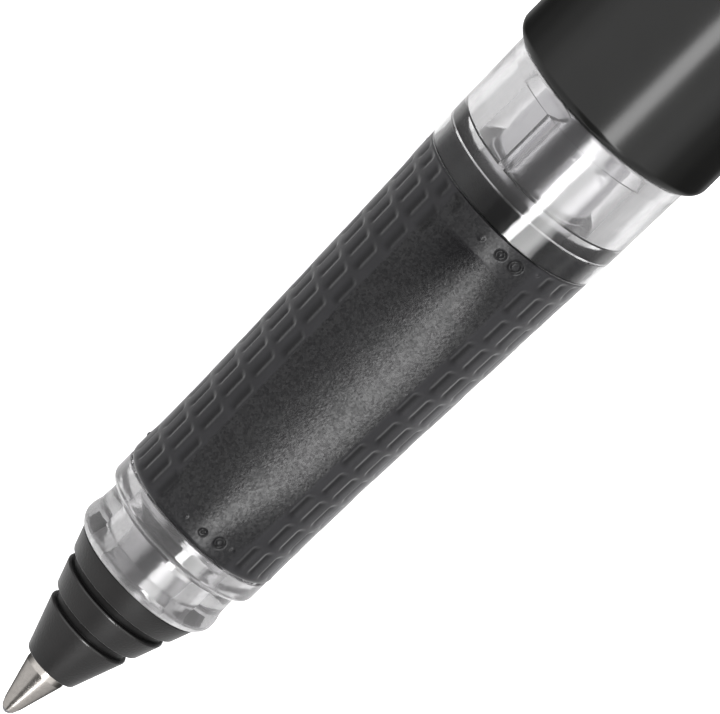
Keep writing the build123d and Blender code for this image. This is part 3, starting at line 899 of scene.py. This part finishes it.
def add_shares(mesh):
    """Stores the shares of grain and dent at each point of the grip, for its material."""
    points = np.zeros(len(mesh.vertices) * 3, np.float32)
    mesh.vertices.foreach_get("co", points)
    x, y, z = points.reshape(-1, 3).T / MM
    _, grain, dent = grip_texture(x, np.arctan2(-y, z))
    for name, share in (("grain", grain), ("dent", dent)):
        attribute = mesh.attributes.new(name, "FLOAT", "POINT")
        attribute.data.foreach_set("value", share.astype(np.float32))


def build_barrel():
    """Glossy barrel with its socket, bore and tail post, and the vented plug in the tail."""
    outline = [
        (BARREL_FRONT, BARREL_SOCKET_R, 0.12),
        (BARREL_FRONT, BARREL_R - BARREL_SLIM, 0.68),
        (POST_START, BARREL_R - BARREL_SLIM, 0.3),
        (POST_START, POST_R, 0.1),
        (BARREL_END, POST_R, 0.5),
        (BARREL_END, POST_BORE_R, 0.1),
        (POST_START, POST_BORE_R),
        (POST_START - BARREL_BORE_TAPER, BARREL_BORE_R),
        (BARREL_SOCKET_END, BARREL_BORE_R),
        (BARREL_SOCKET_END, BARREL_SOCKET_R),
    ]
    lathe("barrel_tube", rounded(outline), GLOSS_BLACK, "barrel", "barrel")
    stem_r = POST_BORE_R - 2 * TOUCH_GAP
    plug = [
        (PLUG_FRONT, VENT_R),
        (PLUG_FRONT, stem_r, 0.2),
        (BARREL_END + TOUCH_GAP, stem_r),
        (BARREL_END + TOUCH_GAP, PLUG_R, 0.15),
        (PLUG_END, PLUG_R, 0.7),
        (PLUG_END, VENT_R, 0.2),
    ]
    lathe("tail_plug", rounded(plug), GLOSS_BLACK, "barrel", "barrel_tail_plug",
          segments=THIN_ROUND)


def build_crown():
    """Cap's end piece: a stem inside the cap's tube, a narrow groove and a rounded end."""
    stem_r = CAP_BORE_R - TOUCH_GAP
    groove_r = CAP_R - CROWN_GROOVE_DEPTH
    groove_end = CAP_JOINT + CROWN_GROOVE_LENGTH
    outline = [
        (CROWN_FRONT, CROWN_BORE_R),
        (CROWN_FRONT, stem_r),
        (CAP_JOINT, stem_r),
        (CAP_JOINT, groove_r, 0.05),
        (groove_end, groove_r, 0.05),
        (groove_end, CAP_R, 0.12),
        (CROWN_END, CAP_R - CROWN_TAPER, CROWN_ROUND),
        (CROWN_END, 0.0),
        (CROWN_END - CROWN_END_WALL, 0.0),
        (CROWN_END - CROWN_END_WALL, CROWN_BORE_R),
    ]
    lathe("crown", rounded(outline), GLOSS_BLACK, "cap", "cap_crown")


def dress_cad_nodes():
    """Gives the CAD nodes that stay their materials."""
    finishes = {
        "tip_spring": STEEL,
        "ink_column": INK,
        "ink_follower": GREASE,
        "refill_stopper": MILKY,
        "section_seal": SEAL_RUBBER,
        "refill_buffer": SEAL_RUBBER,
        "cap_shell": GLOSS_BLACK,
        "cap_liner": LINER,
        "cap_tip_pad": SEAL_RUBBER,
        "pocket_clip": GLOSS_BLACK,
    }
    for node, material in finishes.items():
        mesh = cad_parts[node].data
        mesh.materials.clear()
        mesh.materials.append(material)


# ---------------------------------------------------------------- camera and floor

def view_axes():
    """(right, up, back, beside) of a camera that sees the pen rising across the picture, tail nearer."""
    back = Vector((math.sin(LEAN), 0, math.cos(LEAN)))
    along = (Vector((1, 0, 0)) - back * back.x).normalized()
    beside = along.cross(back)
    right = along * math.cos(SLANT) + beside * math.sin(SLANT)
    up = along * math.sin(SLANT) - beside * math.cos(SLANT)
    return right, up, back, beside


def build_camera():
    """Long camera on the writing end of the pen."""
    right, up, back, beside = view_axes()
    camera = bpy.data.cameras.new("camera")
    camera.sensor_width = SENSOR
    camera.lens = SENSOR * CAMERA_FAR / VIEW_WIDTH
    camera.clip_start = CLIP_START
    camera.clip_end = CLIP_END
    obj = bpy.data.objects.new("camera", camera)
    bpy.context.scene.collection.objects.link(obj)
    turn = Matrix((right, up, back)).transposed().to_4x4()
    target = Vector((VIEW_CENTRE_X, 0, 0)) + beside * VIEW_SHIFT
    obj.matrix_world = Matrix.Translation(target + back * CAMERA_FAR) @ turn
    bpy.context.scene.camera = obj


def build_floor():
    """Plain pale floor under the pen, seen only by a camera above it."""
    level = cad_box[0].z
    mesh = bpy.data.meshes.new("floor")
    corners = [(x * FLOOR_HALF, y * FLOOR_HALF, level) for x, y in ((-1, -1), (1, -1), (1, 1), (-1, 1))]
    mesh.from_pydata(corners, [], [(0, 1, 2, 3)])
    floor = bpy.data.objects.new("floor", mesh)
    bpy.context.scene.collection.objects.link(floor)
    material, nodes = new_material("pale_floor")
    tint = nodes.ramp(noise(nodes, place(nodes), scale=0.02, detail=2.0), ((0.3, 0.86), (0.7, 0.9)))
    paper = nodes.add("ShaderNodeBsdfDiffuse", {"Color": tint})
    glow = nodes.add("ShaderNodeEmission", Color=grey(1.0), Strength=FLOOR_GLOW)
    both = nodes.add("ShaderNodeAddShader", {0: paper.outputs[0], 1: glow.outputs[0]})
    from_below = nodes.add("ShaderNodeNewGeometry").outputs["Backfacing"]
    nothing = nodes.add("ShaderNodeBsdfTransparent")
    one_sided = nodes.add("ShaderNodeMixShader", {0: from_below, 1: both.outputs[0], 2: nothing.outputs[0]})
    finish_material(nodes, one_sided.outputs[0])
    mesh.materials.append(material)
    floor.visible_glossy = False
    floor.visible_diffuse = False
    floor.visible_transmission = False
    floor.visible_shadow = False


# ---------------------------------------------------------------- studio light

# Brightness against the direction light comes from, as (degrees round the pen, brightness).
# Towards the tail the sides and the ground are dark, and towards the point they are pale.
REAR_TENT = (
    (-180, 0.3), (-160, 0.25), (-148, 0.06), (-135, 0.05), (-115, 0.14), (-90, 0.4), (-70, 0.78),
    (-55, 0.95), (-10, 0.95), (36, 0.85), (60, 1.0), (70, 0.8), (90, 0.2), (115, 0.05), (148, 0.05),
    (160, 0.25), (180, 0.3),
)
FRONT_TENT = (
    (-180, 0.45), (-90, 0.6), (-30, 0.6), (-16, 0.1), (8, 0.08), (45, 0.8), (70, 0.55), (90, 0.5),
    (180, 0.45),
)
# what light that has come through the clear plastic sees instead
INNER_TENT = (
    (-180, 1.2), (-166, 1.2), (-150, 0.72), (-65, 0.66), (-46, 0.5), (-24, 0.02), (8, 0.02), (18, 0.4),
    (26, 1.2), (38, 1.0), (48, 0.35), (56, 0.25), (68, 0.37), (81, 0.6), (94, 0.95), (108, 0.5), (150, 0.65),
    (166, 1.2), (180, 1.2),
)
# what a polished surface sees: a shaded tent, with a glow at the rims
POLISH_SHADE = (
    (-180, 0.6), (-20, 0.65), (-12, 0.4), (2, 0.4), (12, 0.9), (50, 0.9), (60, 0.7), (180, 0.7),
)
RIM_GLOW = ((-180, 0.95), (-140, 0.95), (-115, 0.0), (115, 0.0), (140, 0.95), (180, 0.95))
# the window beside the camera as satin surfaces, polished ones and the polished waisted neck see it
SATIN_WINDOW = ((-180, 0.0), (11.5, 0.0), (13.5, 1.0), (27.0, 1.0), (29.0, 0.0))
SHARP_WINDOW = (
    (-180, 0.0), (12.5, 0.0), (17.0, 1.0), (24.0, 1.0), (28.0, 0.3), (37.0, 0.33), (43.0, 0.4), (47.0, 0.36),
    (52.0, 0.2), (58.0, 0.0),
)
WAIST_WINDOW = ((-180, 0.0), (5.0, 0.0), (11.0, 1.0), (30.0, 1.0), (40.0, 0.0))
SATIN_WINDOW_LIGHT = 6.7
SHARP_WINDOW_LIGHT = 26.0
WAIST_WINDOW_LIGHT = 11.0
WINDOW_SKEW = 62.0      # degrees the window leans round, per unit of a direction's X past the bend
WINDOW_BEND = 0.48      # the lean starts where a direction's X is below minus this
# Shares against the direction's place along the pen: 0 is towards the point and 1 towards the tail.
WINDOW_ENDS = ((0.0, 0.08), (0.12, 0.12), (0.16, 0.45), (0.22, 1.0), (0.62, 1.0), (0.8, 0.0))
TOWARD_POINT = ((0.0, 1.0), (0.22, 1.0), (0.3, 0.0), (1.0, 0.0))
FROM_WAIST = ((0.38, 0.0), (0.39, 1.0))


def turn_ramp(nodes, place_turn, stops):
    """Brightness against the angle round the pen, in degrees from +Z towards -Y."""
    return nodes.ramp(place_turn, tuple((degrees / 360 + 0.5, value) for degrees, value in stops))


def window_light(nodes, place_window, place_x, sharp):
    """Light of the long bright window, which polished surfaces see narrower than satin ones."""
    satin = nodes.math("MULTIPLY", turn_ramp(nodes, place_window, SATIN_WINDOW), SATIN_WINDOW_LIGHT)
    straight = nodes.math("MULTIPLY", turn_ramp(nodes, place_window, SHARP_WINDOW), SHARP_WINDOW_LIGHT)
    waisted = nodes.math("MULTIPLY", turn_ramp(nodes, place_window, WAIST_WINDOW), WAIST_WINDOW_LIGHT)
    polished = nodes.mix(nodes.ramp(place_x, FROM_WAIST), straight, waisted)
    return nodes.math("MULTIPLY", nodes.mix(sharp, satin, polished), nodes.ramp(place_x, WINDOW_ENDS))


def tent_light(nodes, place_turn, place_x, sharp):
    """Light of the soft tent round the pen, which polished surfaces see shaded but for its rims."""
    tent = nodes.mix(
        nodes.ramp(place_x, TOWARD_POINT),
        turn_ramp(nodes, place_turn, REAR_TENT),
        turn_ramp(nodes, place_turn, FRONT_TENT),
    )
    tent = nodes.math("MULTIPLY", tent, nodes.mix(sharp, 1.0, turn_ramp(nodes, place_turn, POLISH_SHADE)))
    return nodes.math("ADD", tent, nodes.math("MULTIPLY", turn_ramp(nodes, place_turn, RIM_GLOW), sharp))


def build_world():
    """Studio light: a soft tent, dark behind the camera, and one long bright window beside it."""
    world = bpy.data.worlds.new("studio")
    bpy.context.scene.world = world
    world.use_nodes = True
    nodes = Nodes(world.node_tree)
    direction = nodes.add("ShaderNodeTexCoord").outputs["Generated"]
    x, y, z = nodes.add("ShaderNodeSeparateXYZ", {0: direction}).outputs
    turn = nodes.math("MULTIPLY", nodes.math("ARCTAN2", nodes.math("MULTIPLY", y, -1.0), z), 180 / math.pi)
    place_turn = nodes.math("ADD", nodes.math("DIVIDE", turn, 360.0), 0.5)
    place_x = nodes.math("ADD", nodes.math("MULTIPLY", x, 0.5), 0.5)
    # the window leans: its end towards the point stands further round
    skew = nodes.math("MINIMUM", nodes.math("ADD", x, WINDOW_BEND), 0.0)
    place_window = nodes.math("ADD", place_turn, nodes.math("MULTIPLY", skew, WINDOW_SKEW / 360))

    path = nodes.add("ShaderNodeLightPath")
    inside = nodes.math("GREATER_THAN", path.outputs["Transmission Depth"], 0.5)
    sharp = path.outputs["Is Singular Ray"]
    window = window_light(nodes, place_window, place_x, sharp)
    outer = nodes.math("ADD", window, tent_light(nodes, place_turn, place_x, sharp))
    light = nodes.mix(inside, outer, turn_ramp(nodes, place_turn, INNER_TENT))
    seen = nodes.add("ShaderNodeBackground", Color=grey(1.0), Strength=1.0)
    lights = nodes.add("ShaderNodeBackground", {"Strength": light}, Color=grey(1.0))
    mixed = nodes.add(
        "ShaderNodeMixShader",
        {0: path.outputs["Is Camera Ray"], 1: lights.outputs[0], 2: seen.outputs[0]},
    )
    nodes.add("ShaderNodeOutputWorld", {"Surface": mixed.outputs[0]})


build_ball()
build_point()
build_nose()
build_section()
build_refill()
build_grip()
build_barrel()
build_crown()
dress_cad_nodes()
build_camera()
build_world()
build_floor()

bpy.context.scene.view_settings.view_transform = "Standard"
